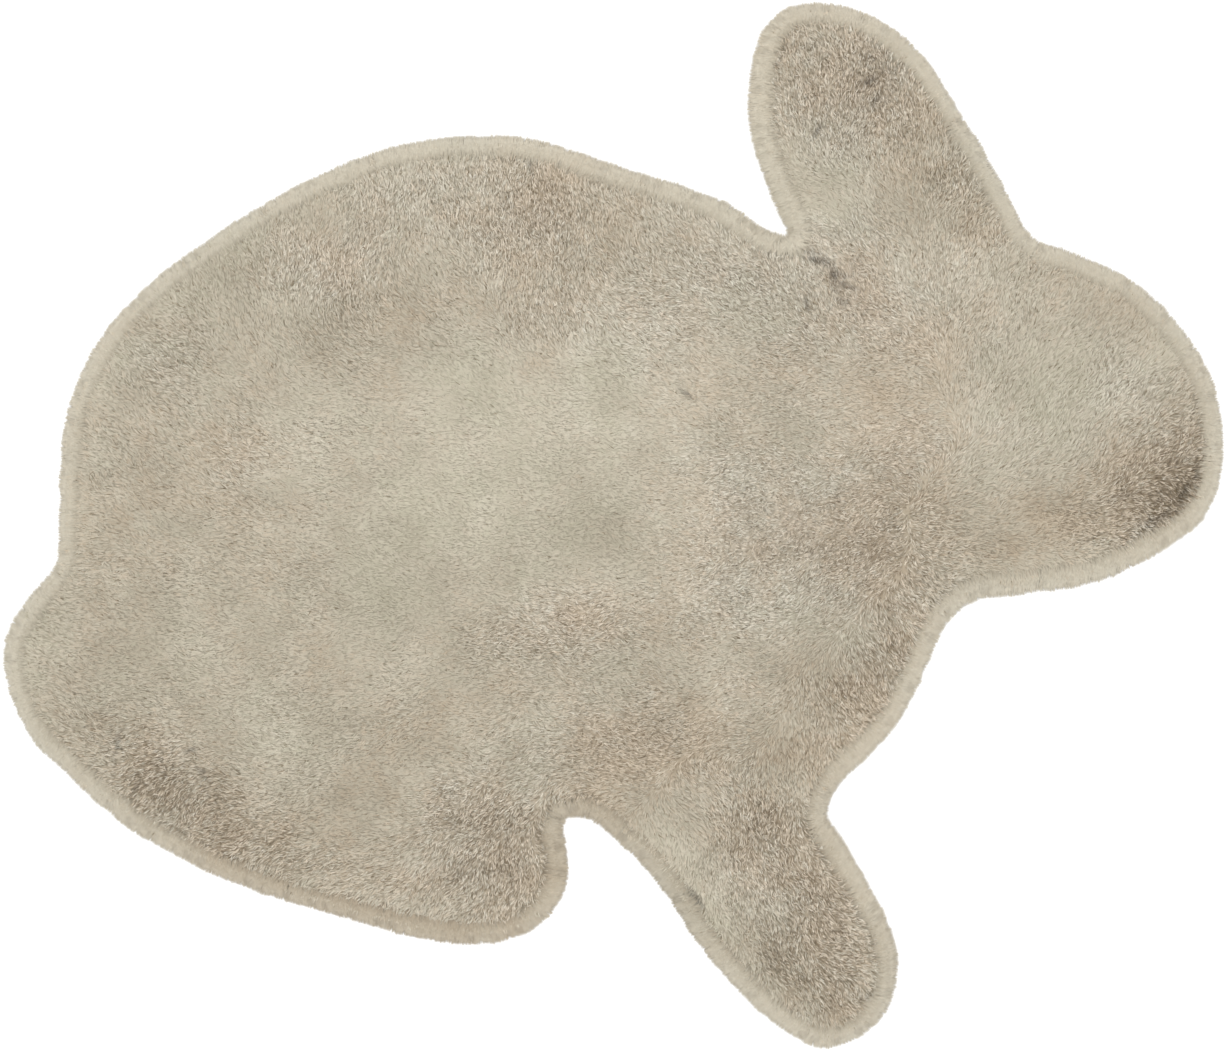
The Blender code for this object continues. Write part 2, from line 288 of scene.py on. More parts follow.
PATCHES = (
    # Head
    Patch("nose", 463, 28, 48, 16, 52, 1.3, -0.66, 0.5),
    Patch("nose_back", 448, 34, 64, 40, 55, 0.9, -0.26, 0.7),
    Patch("jaw", 405, 13, 60, 26, 10, 0.2, -0.1, 0.7),
    Patch("jaw_back", 358, 15, 36, 30, 0, 0, -0.15, 0.2),
    Patch("jaw_low", 367, -42, 64, 16, 5, -0.3, 0.15, 0),
    Patch("muzzle_top", 455, 160, 28, 30, 0, -0.2, 0.04, -0.1),
    Patch("forehead", 365, 125, 80, 70, 0, 0, 0.09, -0.4),
    Patch("brow", 407, 167, 40, 28, 0, 0, -0.2, 0),
    Patch("muzzle", 421, 114, 38, 35, 60, 0.3, 0.24, 0.3),
    Patch("cheek", 309, 64, 52, 42, 0, 0.1, 0.24, -0.4),
    Patch("cheek_front", 358, 104, 40, 36, 0, 0.1, 0, 0),
    Patch("cheek_low", 232, 62, 50, 30, 0, 0.35, 0.25, 0.1),
    Patch("neck_front", 235, 8, 50, 30, 0, 0, -0.15, 0.2),
    Patch("throat", 300, -5, 40, 30, 0, -0.2, -0.15, 0.6),
    Patch("crown", 292, 192, 60, 36, 0, 0.2, 0.18, -0.2),
    # Ear
    Patch("ear_tip", 205, 352, 75, 62, 100, 1.05, 0.12, 0.4),
    Patch("ear_edge", 163, 348, 46, 24, 100, 0.3, -0.12, 0),
    Patch("ear_spot", 209, 362, 22, 18, 100, 1, 0, 0),
    Patch("ear_middle", 243, 306, 46, 34, 120, -0.35, -0.12, 0),
    Patch("ear_front", 284, 276, 55, 24, 118, 0.3, 0, 0.3),
    Patch("ear_root_back", 172, 276, 44, 36, 0, -0.4, 0.2, -0.3),
    Patch("ear_root", 258, 256, 36, 32, 0, 0, -0.15, 0),
    # Neck
    Patch("neck", 203, 196, 70, 32, -40, 0.95, 0.4, 0.9),
    Patch("nape", 108, 206, 60, 30, -20, 0.6, 0.04, 0.2),
    Patch("neck_top", 0, 212, 56, 30, 0, 0, -0.28, 0),
    Patch("neck_low", 166, 158, 44, 38, 0, 0.5, 0.1, 0.2),
    Patch("neck_side", 227, 112, 66, 66, 0, 0, 0.07, 1),
    Patch("withers", 32, 172, 60, 76, -30, 0.45, 0.4, 0),
    # Back and rump
    Patch("back_crest", -75, 251, 62, 46, 0, 1, 0.16, 0.8),
    Patch("loin", -232, 205, 46, 27, 0, 0.7, 0.2, 0.5),
    Patch("loin_back", -290, 212, 24, 28, 0, 0.1, -0.2, 0.2),
    Patch("back", -183, 262, 40, 30, 0, 0.35, 0.08, 0.2),
    Patch("loin_low", -218, 157, 56, 36, 0, 0.2, -0.24, 0.3),
    Patch("side_crown", -60, 161, 60, 30, 0, 0.3, 0, 0),
    Patch("rump", -360, 132, 34, 42, 0, 0.4, -0.06, 0.2),
    Patch("hip_high", -248, 72, 56, 36, 0, 0.2, 0.07, 0),
    Patch("hip", -306, 38, 28, 50, 0, 0.3, 0, 0.3),
    Patch("hip_low", -285, -40, 40, 36, 0, 0, 0.15, 0),
    Patch("hip_middle", -281, 13, 36, 34, 0, 0, -0.14, 0),
    Patch("rump_low", -414, -100, 54, 64, 0, -0.1, -0.02, 0),
    # Side
    Patch("side_middle", -84, 46, 190, 120, 0, -0.4, 0.26, -0.4),
    Patch("ribs", -20, 4, 64, 34, 0, 0, -0.22, 0),
    Patch("side_low", -36, -77, 46, 30, 0, 0.7, 0.25, 0.9),
    Patch("side_front", 14, -85, 36, 30, 0, 0.2, -0.15, 0.3),
    Patch("side_back", -94, -92, 28, 24, 0, 0.3, -0.12, 0.3),
    Patch("waist", -30, -130, 60, 30, 0, 0, 0.05, 0),
    Patch("waist_front", 66, -134, 30, 26, 0, 0, -0.08, 0),
    # Haunch and hind foot
    Patch("thigh", -250, -132, 120, 66, 0, 0, 0.02, -0.1),
    Patch("sole_top", -190, -230, 60, 30, 0, -0.15, -0.12, 0),
    Patch("knee_back", -132, -196, 45, 30, 0, -0.2, 0.05, -0.3),
    Patch("haunch_low", -345, -228, 90, 38, -32, 0.75, -0.4, 0.5),
    Patch("haunch_back", -385, -180, 40, 26, -30, 0.2, 0.02, 0.2),
    Patch("thigh_back", -345, -125, 40, 44, 0, 0, 0.03, 0),
    Patch("sole", -215, -284, 105, 26, -12, 0.25, -0.06, 0.5),
    Patch("toe", -88, -262, 52, 44, 60, 1.15, -0.08, 0.6),
    Patch("knee_front", -128, -226, 36, 28, 30, 0.7, 0.14, 0.2),
    # Belly, shoulder and breast
    Patch("belly", 20, -178, 76, 44, -10, 0.5, -0.07, 0.7),
    Patch("belly_low", 55, -233, 52, 42, 0, -0.1, 0.02, -0.3),
    Patch("shoulder", 130, 8, 72, 48, 0, 1.1, 0.58, 0.2),
    Patch("withers_low", 92, 60, 58, 34, 0, 0.2, 0.01, 0.2),
    Patch("withers_front", 112, 161, 34, 28, 0, 0, -0.15, 0),
    Patch("shoulder_low", 108, -50, 54, 42, 0, 0.75, 0.32, 0.2),
    Patch("breast", 212, -24, 80, 54, -10, 0.8, -0.11, 1),
    Patch("breast_low", 214, -88, 34, 30, 0, 0, -0.18, 0),
    Patch("chest", 208, -135, 34, 52, -30, 0.7, -0.05, 1),
    Patch("chest_side", 168, -118, 40, 30, 0, -0.1, -0.26, 0.4),
    # Foreleg
    Patch("elbow", 104, -134, 32, 26, 0, 0.1, 0.36, 0),
    Patch("foreleg_root", 128, -177, 50, 45, -20, 0, -0.14, 0.5),
    Patch("foreleg_top", 118, -240, 38, 36, 0, 0.6, -0.28, 0.9),
    Patch("foreleg_back", 112, -285, 30, 28, 0, 0.2, 0.12, 0.4),
    Patch("foreleg", 172, -318, 44, 70, 28, 1, -0.2, 0.8),
    Patch("paw_back", 132, -349, 42, 24, -55, 0.2, -0.45, 0.4),
    Patch("paw_tip", 170, -385, 40, 26, 0, 0.2, -0.3, 0.4),
)

# The same for the rim's hair, which is one even tone but for the stretches here
RIM_PATCHES = (
    Patch("sole", -190, -325, 190, 60, -12, 0, -0.27, 0.6),
    Patch("toe", -25, -262, 55, 50, 60, 0, -0.25, 0.3),
    Patch("tail", -430, -215, 50, 50, 0, 0, 0, -0.1),
    Patch("paw", 60, -290, 50, 80, 0, 0, -0.3, 0),
    Patch("paw_front", 228, -345, 60, 50, 0, 0, -0.12, 0.1),
    Patch("chest", 190, -240, 40, 40, 0, 0, -0.1, 0.1),
    Patch("nose", 500, 20, 60, 60, 0, 0, 0.14, -0.2),
)

# Small places where the pile parts and the hair lies in shade. depth: 1 is the darkest.
GAP_BAND = (0.2, 1.2)  # shares of a gap's size between which its shade fades away
Gap = namedtuple("Gap", "name x_mm y_mm length_mm width_mm turn depth")
GAPS = (
    Gap("parting_above", 163, 224, 11, 4, -20, 0.25),
    Gap("parting_top", 168, 217, 14, 4, -10, 0.55),
    Gap("parting_middle", 180, 205, 9, 3, 100, 0.7),
    Gap("parting_side", 184, 206, 11, 3, -30, 0.4),
    Gap("parting_low", 181, 197, 10, 5, -60, 0.3),
    Gap("parting_end", 191, 196, 13, 3, -20, 0.5),
    Gap("neck", 158, 181, 10, 3, 100, 0.4),
    Gap("neck_end", 188, 183, 7, 4, 0, 0.35),
    Gap("tail", -404, -176, 11, 2.5, 85, 0.6),
    Gap("haunch", -345, -183, 9, 3, 20, 0.45),
    Gap("haunch_low", -335, -202, 11, 3, -50, 0.45),
    Gap("haunch_rim", -390, -214, 8, 2.5, 60, 0.5),
    Gap("wrist", 67, -304, 14, 4, -52, 0.7),
    Gap("heel", 211, -382, 14, 3, 30, 0.5),
    Gap("ear_spot", 210, 364, 9, 4, 20, 0.6),
    Gap("ear_spot_low", 214, 347, 9, 3, 60, 0.4),
    Gap("ear_back", 167, 323, 9, 3, 60, 0.45),
    Gap("side", 59, 108, 10, 2.5, -40, 0.5),
    Gap("chin", 440, 5, 9, 3, 20, 0.5),
    Gap("mouth", 414, 24, 18, 3, 15, 0.25),
    Gap("nose", 465, 27, 13, 4, 60, 0.5),
    Gap("nose_low", 449, 9, 10, 3, 40, 0.5),
    Gap("nose_high", 476, 45, 8, 3, 100, 0.4),
    Gap("shoulder_back", -68, 296, 11, 3, 100, 0.45),
)


def smoothstep(x):
    x = np.clip(x, 0, 1)
    return x * x * (3 - 2 * x)


def falling(values, band):
    """1 up to the start of the band, and falling smoothly to 0 at its end."""
    start, end = band
    return smoothstep(1 - (values - start) / (end - start))


def by_ruffle(span, ruffle):
    """The span's value at each ruffle, on a straight line from smooth to ruffled."""
    return span.smooth + (span.ruffled - span.smooth) * ruffle


def directions(angles):
    return np.stack([np.cos(angles), np.sin(angles)], axis=-1)


def angles_of(vectors):
    return np.arctan2(vectors[:, 1], vectors[:, 0])


def with_length_one(vectors):
    return vectors / np.maximum(np.linalg.norm(vectors, axis=-1, keepdims=True), 1e-9)


def soft_noise(points, noise):
    """Random values on a square lattice of the noise's size, blended smoothly between them."""
    side = 256
    values = np.random.default_rng(noise.seed).uniform(-1, 1, (side, side))
    place = points / noise.size + side / 2
    cell = np.floor(place).astype(int)
    share = smoothstep(place - cell)
    x0, y0 = cell[:, 0] % side, cell[:, 1] % side
    x1, y1 = (x0 + 1) % side, (y0 + 1) % side
    low = values[y0, x0] * (1 - share[:, 0]) + values[y0, x1] * share[:, 0]
    high = values[y1, x0] * (1 - share[:, 0]) + values[y1, x1] * share[:, 0]
    return noise.strength * (low * (1 - share[:, 1]) + high * share[:, 1])


def noise_sum(points, noises):
    return sum(soft_noise(points, noise) for noise in noises)


def blurred(values, times):
    """A grid's values, averaged with their neighbours a number of times."""
    for _ in range(times):
        padded = np.pad(values, 1, mode="edge")
        beside = padded[1:-1, :-2] + padded[1:-1, 2:] + padded[:-2, 1:-1] + padded[2:, 1:-1]
        values = (values + beside) / 5
    return values


def signed_area(ring):
    x, y = ring[:, 0], ring[:, 1]
    return 0.5 * np.sum(x * np.roll(y, -1) - np.roll(x, -1) * y)


def inside(ring, points):
    """Whether each point is inside a closed line, by counting the sides that lie to its right."""
    crossings = np.zeros(len(points), int)
    for (x0, y0), (x1, y1) in zip(ring, np.roll(ring, -1, axis=0)):
        spans = (y0 > points[:, 1]) != (y1 > points[:, 1])
        if spans.any():
            side_x = x0 + (points[:, 1] - y0) / (y1 - y0) * (x1 - x0)
            crossings += spans & (points[:, 0] < side_x)
    return crossings % 2 == 1


def evenly_spaced(ring, count):
    """count points at equal steps along a closed line."""
    closed = np.vstack([ring, ring[:1]])
    along = np.concatenate([[0], np.cumsum(np.linalg.norm(np.diff(closed, axis=0), axis=1))])
    at = np.linspace(0, along[-1], count, endpoint=False)
    return np.stack([np.interp(at, along, closed[:, axis]) for axis in (0, 1)], axis=1)


def rim_of(solid):
    """The line through the tips of the solid's rim locks, counterclockwise."""
    mesh = solid.data
    on_floor = {v.index: v.co for v in mesh.vertices if v.co.z < ON_FLOOR}
    place = {i: (round(co.x, ROUNDING), round(co.y, ROUNDING)) for i, co in on_floor.items()}
    counts = {}
    for face in mesh.polygons:
        corners = [place[i] for i in face.vertices if i in on_floor]
        if len(corners) == 3:
            for a, b in zip(corners, corners[1:] + corners[:1]):
                side = frozenset((a, b))
                counts[side] = counts.get(side, 0) + 1
    beside = {}
    for side, count in counts.items():
        if count == 1:
            a, b = side
            beside.setdefault(a, []).append(b)
            beside.setdefault(b, []).append(a)
    start = min(beside)
    ring = [start, beside[start][0]]
    while True:
        step = [p for p in beside[ring[-1]] if p != ring[-2]][0]
        if step == start:
            break
        ring.append(step)
    ring = np.array(ring)
    tips = max(ring[0::2], ring[1::2], key=lambda part: abs(signed_area(part)))
    return tips if signed_area(tips) > 0 else tips[::-1]


class RugShape:
    """The rim, and over a grid the height of the pile, the distance to the rim and the way out."""

    def __init__(self, solid):
        self.rim = evenly_spaced(rim_of(solid), RIM_POINTS)
        self.low = self.rim.min(axis=0) - GRID_MARGIN
        high = self.rim.max(axis=0) + GRID_MARGIN
        self.counts = np.ceil((high - self.low) / GRID_STEP).astype(int) + 1
        xs = self.low[0] + np.arange(self.counts[0]) * GRID_STEP
        ys = self.low[1] + np.arange(self.counts[1]) * GRID_STEP
        nodes = np.stack(np.meshgrid(xs, ys), axis=-1).reshape(-1, 2)
        shape = (self.counts[1], self.counts[0])
        self.inset = self._insets(nodes).reshape(shape)
        self.height = self._heights(solid, nodes).reshape(shape)
        up_y, up_x = np.gradient(blurred(self.inset, OUTWARD_BLURS), GRID_STEP)
        self.outward = with_length_one(np.stack([-up_x, -up_y], axis=-1))

    def _insets(self, nodes):
        tree = KDTree(len(self.rim))
        for index, (x, y) in enumerate(self.rim):
            tree.insert((x, y, 0), index)
        tree.balance()
        distance = np.array([tree.find((x, y, 0))[2] for x, y in nodes])
        return np.where(inside(self.rim[::RIM_SKIP], nodes), distance, -distance)

    def _heights(self, solid, nodes):
        mesh = solid.data
        faces = [face.vertices[:] for face in mesh.polygons]
        tree = BVHTree.FromPolygons([v.co for v in mesh.vertices], faces)
        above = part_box(SOLID)[1].z + 10 * MM
        down = Vector((0, 0, -1))
        hits = [tree.ray_cast((x, y, above), down)[0] for x, y in nodes]
        return np.array([0 if hit is None else hit.z for hit in hits])

    def at(self, values, points):
        """The grid's values at any points, by linear interpolation."""
        place = (points - self.low) / GRID_STEP
        cell = np.clip(np.floor(place).astype(int), 0, self.counts - 2)
        share = np.clip(place - cell, 0, 1)
        x, y = cell[:, 0], cell[:, 1]
        right, up = share[:, 0], share[:, 1]
        if values.ndim == 3:
            right, up = right[:, None], up[:, None]
        low = values[y, x] * (1 - right) + values[y, x + 1] * right
        high = values[y + 1, x] * (1 - right) + values[y + 1, x + 1] * right
        return low * (1 - up) + high * up

    def outward_at(self, points):
        return with_length_one(self.at(self.outward, points))


def distance_from(place, points):
    """How far each point is from a gap's or patch's middle, where 1 is its own size."""
    away = points - np.array((place.x_mm, place.y_mm)) * MM
    ahead = directions(np.radians(place.turn))
    along = away @ ahead / (place.length_mm * MM)
    across = away @ np.array((-ahead[1], ahead[0])) / (place.width_mm * MM)
    return np.hypot(along, across)


def sum_of_patches(patches, points):
    """Ruffle, tone and warmth that the patches add at each point."""
    ragged = 1 + noise_sum(points, PATCH_RAGGED)
    total = np.zeros((3, len(points)))
    for patch in patches:
        share = np.exp(-PATCH_FALL * ragged * distance_from(patch, points) ** 2)
        total += np.outer((patch.ruffle, patch.tone, patch.warmth), share)
    return total


def patch_values(points):
    """Ruffle, tone and warmth at each point, from the patches and some uneven noise."""
    ruffle, tone, warmth = sum_of_patches(PATCHES, points)
    ruffle = np.clip(ruffle + BASE_RUFFLE + noise_sum(points, RUFFLE_NOISE), 0, MOST_RUFFLE)
    tone += noise_sum(points, TONE_NOISE)
    tone -= SMOOTH_DARKER * (1 - np.minimum(ruffle, 1)) ** SMOOTH_POWER
    warmth += noise_sum(points, WARMTH_NOISE)
    return ruffle, np.clip(tone, -1, 1), np.clip(warmth, -1, 1)


def gap_shade(points):
    """How much light the gaps take away, from 0 to 1."""
    shade = np.zeros(len(points))
    for gap in GAPS:
        shade = np.maximum(shade, gap.depth * falling(distance_from(gap, points), GAP_BAND))
    return shade


def combed(points, rug, ruffle):
    """The angle at which the hair leans, from the strokes, the rim and some waywardness."""
    total = np.zeros((len(points), 2))
    for stroke in STROKES:
        away = points - np.array((stroke.x_mm, stroke.y_mm)) * MM
        weight = 1 / (STROKE_CALM + ((away / STROKE_REACH) ** 2).sum(axis=1)) ** 2
        total += weight[:, None] * directions(np.radians(stroke.heading))
    near_rim = falling(rug.at(rug.inset, points), RIM_COMBED)[:, None]
    lean = with_length_one(total) * (1 - near_rim) + rug.outward_at(points) * near_rim
    swirl = noise_sum(points, SWIRLS) + noise_sum(points, RUFFLED_SWIRLS) * ruffle
    return angles_of(lean) + np.radians(swirl)


def lattice(rug, pitch, least_inset):
    """A triangular lattice inside the rim: points, and the three corners of each cell."""
    low, high = rug.rim.min(axis=0), rug.rim.max(axis=0)
    row_step = pitch * math.sqrt(3) / 2
    rows = int((high[1] - low[1]) / row_step) + 1
    columns = int((high[0] - low[0]) / pitch) + 2
    row, column = np.mgrid[0:rows, 0:columns]
    x = low[0] + (column + 0.5 * (row % 2)) * pitch
    y = low[1] + row * row_step
    points = np.stack([x.ravel(), y.ravel()], axis=1)
    here = row[:-1, :-1] * columns + column[:-1, :-1]
    right, above = here + 1, here + columns
    above_right = above + 1
    odd = (row[:-1, :-1] % 2 == 1)[..., None]
    first = np.where(odd, np.stack([here, right, above_right], -1), np.stack([here, right, above], -1))
    second = np.where(
        odd, np.stack([here, above_right, above], -1), np.stack([right, above_right, above], -1)
    )
    cells = np.concatenate([first.reshape(-1, 3), second.reshape(-1, 3)])
    kept = rug.at(rug.inset, points) > least_inset
    cells = cells[kept[cells].all(axis=1)]
    used, cells = np.unique(cells, return_inverse=True)
    return points[used], cells.reshape(-1, 3)


def link(name, mesh, material):
    piece = bpy.data.objects.new(name, mesh)
    mesh.materials.append(material)
    bpy.context.scene.collection.objects.link(piece)
    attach(piece, BODY)
    return piece


def fast_mesh(name, vertices, corners, corner_counts):
    """A mesh from flat arrays: vertex places, the corners of all faces, and corners per face."""
    mesh = bpy.data.meshes.new(name)
    mesh.vertices.add(len(vertices))
    mesh.vertices.foreach_set("co", vertices.astype(np.float32).ravel())
    mesh.loops.add(len(corners))
    mesh.loops.foreach_set("vertex_index", corners.astype(np.int32))
    mesh.polygons.add(len(corner_counts))
    starts = np.concatenate([[0], np.cumsum(corner_counts)[:-1]])
    mesh.polygons.foreach_set("loop_start", starts.astype(np.int32))
    mesh.update(calc_edges=True)
    return mesh


def store_strand(mesh, along, tone, warmth, light):
    """What the fur's material reads at each vertex: along is 0 at a root and 1 at a tip."""
    values = np.stack(np.broadcast_arrays(along, tone / 2 + 0.5, warmth / 2 + 0.5, light), axis=-1)
    layer = mesh.color_attributes.new("strand", "FLOAT_COLOR", "POINT")
    layer.data.foreach_set("color", values.astype(np.float32).ravel())


def build_ground_cloth(rug, material):
    ring = evenly_spaced(rug.rim, CLOTH_POINTS)
    ring = ring - rug.outward_at(ring) * CLOTH_INSET
    shape = bmesh.new()
    bottom = [shape.verts.new((x, y, CLOTH_LIFT)) for x, y in ring]
    top = [shape.verts.new((x, y, CLOTH_LIFT + CLOTH_THICKNESS)) for x, y in ring]
    shape.faces.new(bottom[::-1])
    shape.faces.new(top)
    for near in range(len(ring)):
        far = (near + 1) % len(ring)
        shape.faces.new((bottom[near], bottom[far], top[far], top[near]))
    bmesh.ops.recalc_face_normals(shape, faces=shape.faces)
    mesh = bpy.data.meshes.new("ground_cloth")
    shape.to_mesh(mesh)
    shape.free()
    piece = link("ground_cloth", mesh, material)
    return piece


def underfur_height(rug, points, ruffle):
    top = rug.at(rug.height, points) - by_ruffle(UNDERFUR_DEPTH, ruffle)
    lumps = noise_sum(points, UNDERFUR_LUMPS) * by_ruffle(LUMP_SHARE, ruffle)
    return np.maximum(top + lumps, UNDERFUR_FLOOR + UNDERFUR_LEAST)


def boundary_of(cells):
    """The sides that belong to one cell only, as pairs in the cells' own direction."""
    sides = np.concatenate([cells[:, (0, 1)], cells[:, (1, 2)], cells[:, (2, 0)]])
    key = np.sort(sides, axis=1)
    _, index, counts = np.unique(key, axis=0, return_index=True, return_counts=True)
    return sides[index[counts == 1]]


def ring_of(sides):
    """The corners of a closed line, in order, from its sides."""
    following = dict(sides.tolist())
    ring = [int(sides[0, 0])]
    while following[ring[-1]] != ring[0]:
        ring.append(following[ring[-1]])
    return np.array(ring)


def build_underfur(rug, material):
    """A closed lumpy body: the top follows the pile, and its side stands on the ground cloth."""
    random = np.random.default_rng(UNDERFUR_SEED)
    points, cells = lattice(rug, UNDERFUR_PITCH, UNDERFUR_INSET)
    count = len(points)
    sides = boundary_of(cells)
    edge = np.unique(sides)
    past = rug.at(rug.inset, points[edge]) - UNDERFUR_INSET
    points[edge] += rug.outward_at(points[edge]) * past[:, None]
    ruffle, tone, warmth = patch_values(points)
    top = np.column_stack([points, underfur_height(rug, points, ruffle)])
    bottom = np.column_stack([points, np.full(count, UNDERFUR_FLOOR)])
    walls = np.column_stack([sides[:, 1], sides[:, 0], sides[:, 0] + count, sides[:, 1] + count])
    under = ring_of(sides)[::-1] + count
    corners = np.concatenate([cells.ravel(), under, walls.ravel()])
    corner_counts = np.array([3] * len(cells) + [len(under)] + [4] * len(walls))
    mesh = fast_mesh("underfur", np.vstack([top, bottom]), corners, corner_counts)
    specks = by_ruffle(UNDERFUR_SPECKS, ruffle) * random.normal(0, 1, count)
    # painted shade: the underfur is darker where the fur is ruffled
    tone = np.clip(tone - UNDERFUR_PAINTED_SHADE * ruffle + specks, -1, 1)
    light = 1 - gap_shade(points)
    store_strand(mesh, UNDERFUR_ALONG, np.tile(tone, 2), np.tile(warmth, 2), np.tile(light, 2))
    mesh.shade_smooth()
    return link("underfur", mesh, material)


def bake_map(mesh, places, corners_per_hair):
    """Gives each hair its own cell of the map, with neighbours on the rug near each other."""
    count = len(places)
    side = int(math.ceil(math.sqrt(count)))
    column = np.empty(count, int)
    row = np.empty(count, int)
    by_x = np.argsort(places[:, 0])
    for index, start in enumerate(range(0, count, side)):
        part = by_x[start : start + side]
        part = part[np.argsort(places[part, 1])]
        column[part] = index
        row[part] = np.arange(len(part))
    cell = np.stack([column, row], axis=1) / side
    layer = mesh.uv_layers.new(name="OFBake")
    maps = cell[:, None, :] + corners_per_hair[None, :, :] / side
    layer.data.foreach_set("uv", maps.astype(np.float32).ravel())


# What one mesh of hairs is made from: each hair's root, bend and tip, and its look
Hairs = namedtuple("Hairs", "root middle tip width twist tone root_darker warmth light")

# One hair is two triangles that meet at its widest place: root, right, left and tip
HAIR_CORNERS = np.array((0, 1, 2, 1, 3, 2))
HAIR_ALONG = np.array((0, 0.55, 0.55, 1))
ROOT_SHADE_REACH = np.array((1, 0.3, 0.3, 0))  # how much of the root's painted shade reaches a vertex
MAP_OF_VERTEX = np.array(((0.5, 0.1), (0.85, 0.5), (0.15, 0.5), (0.5, 0.9)))


def build_hair(name, hairs, material):
    """Flat hairs, widest and bent at the middle and pointed at both ends."""
    count = len(hairs.root)
    run = hairs.tip - hairs.root
    flat_run = with_length_one(np.column_stack([run[:, :2], np.zeros(count)]))
    across = np.column_stack([-flat_run[:, 1], flat_run[:, 0], np.zeros(count)])
    up = with_length_one(np.cross(with_length_one(run), across))
    side = across * np.cos(hairs.twist)[:, None] + up * np.sin(hairs.twist)[:, None]
    half = side * (hairs.width / 2)[:, None]
    vertices = np.stack([hairs.root, hairs.middle - half, hairs.middle + half, hairs.tip], axis=1)
    corners = (np.arange(count)[:, None] * len(HAIR_ALONG) + HAIR_CORNERS).ravel()
    mesh = fast_mesh(name, vertices.reshape(-1, 3), corners, np.full(2 * count, 3))
    # painted shade: the root's tone is lowered, less so towards the tip
    tone = np.clip(hairs.tone[:, None] - hairs.root_darker[:, None] * ROOT_SHADE_REACH, -1, 1)
    store_strand(mesh, HAIR_ALONG, tone, hairs.warmth[:, None], hairs.light[:, None])
    bake_map(mesh, hairs.root[:, :2], MAP_OF_VERTEX[HAIR_CORNERS])
    mesh.shade_smooth()
    return link(name, mesh, material)


def rim_width_at(points):
    """1 where the rim has its usual width."""
    return 1 + noise_sum(points, RIM_WIDTH_NOISE)


def lock_points(rug):
    """Where the locks stand: on a lattice, shaken, and ever fewer towards the rim."""
    random = np.random.default_rng(LOCK_SEED)
    near, far = LOCK_FADE
    points, _ = lattice(rug, LOCK_PITCH, near / 2)
    inset = rug.at(rug.inset, points) / rim_width_at(points) + noise_sum(points, LOCK_FADE_NOISE)
    share = smoothstep((inset - near) / (far - near))
    points = points[random.uniform(0, 1, len(points)) < share]
    return points + random.uniform(-LOCK_JITTER, LOCK_JITTER, points.shape)


# The locks from above, and their hairs: owner is the number of a hair's lock
Locks = namedtuple("Locks", "place ruffle angle run tone warmth lift")
LaidHairs = namedtuple("LaidHairs", "owner layer start end tone light")


def lay_locks(rug, random):
    """The locks, each with its lean, its length and its own tone."""
    place = lock_points(rug)
    count = len(place)
    ruffle, tone, warmth = patch_values(place)
    run = by_ruffle(HAIR_RUN, ruffle) * random.uniform(*LOCK_RUN_SPREAD, count)
    turn = random.normal(0, 1, count) * by_ruffle(LOCK_TURN, ruffle)
    tone += EDGE_PALER * falling(rug.at(rug.inset, place), EDGE_BAND) + RUFFLED_PALER * ruffle
    tone += random.normal(0, 1, count) * by_ruffle(LOCK_TONE, ruffle)
    warmth += random.normal(0, LOCK_WARMTH, count)
    lift = random.normal(0, 1, count) * by_ruffle(LOCK_LIFT, ruffle)
    angle = combed(place, rug, ruffle) + np.radians(turn)
    return Locks(place, ruffle, angle, run, tone, warmth, lift)


def lay_hairs(locks, random):
    """Every hair of the locks from above. A lock's hairs start apart and lean together."""
    owner = np.repeat(np.arange(len(locks.place)), LOCK_HAIRS)
    count = len(owner)
    ruffle = locks.ruffle[owner]
    layer = random.integers(0, LOCK_LAYERS, count)
    offset = random.uniform(-LOCK_SPREAD, LOCK_SPREAD, (count, 2))
    turn = random.normal(0, 1, count) * by_ruffle(HAIR_TURN, ruffle)
    stray = random.uniform(0, 1, count) < STRAY_SHARE
    turn += stray * random.normal(0, STRAY_TURN, count)
    run = locks.run[owner] * random.uniform(*HAIR_RUN_SPREAD, count)
    tone = locks.tone[owner] + random.normal(0, 1, count) * by_ruffle(HAIR_TONE, ruffle)
    # painted shade: a few hairs are darkened to stand for the shadowed gaps between tufts
    shaded_hair = random.uniform(0, 1, count) < by_ruffle(SHADED_HAIR_SHARE, ruffle)
    tone -= shaded_hair * random.uniform(*SHADED_HAIR_SPREAD, count)
    start = locks.place[owner] + offset
    ahead = directions(locks.angle[owner] + np.radians(turn))
    end = start + ahead * run[:, None] - offset * by_ruffle(LOCK_GATHER, ruffle)[:, None]
    seen = start + (end - start) * GAP_ALONG
    light = 1 - gap_shade(seen) * random.uniform(*GAP_SPREAD, count)
    return LaidHairs(owner, layer, start, end, tone, light)


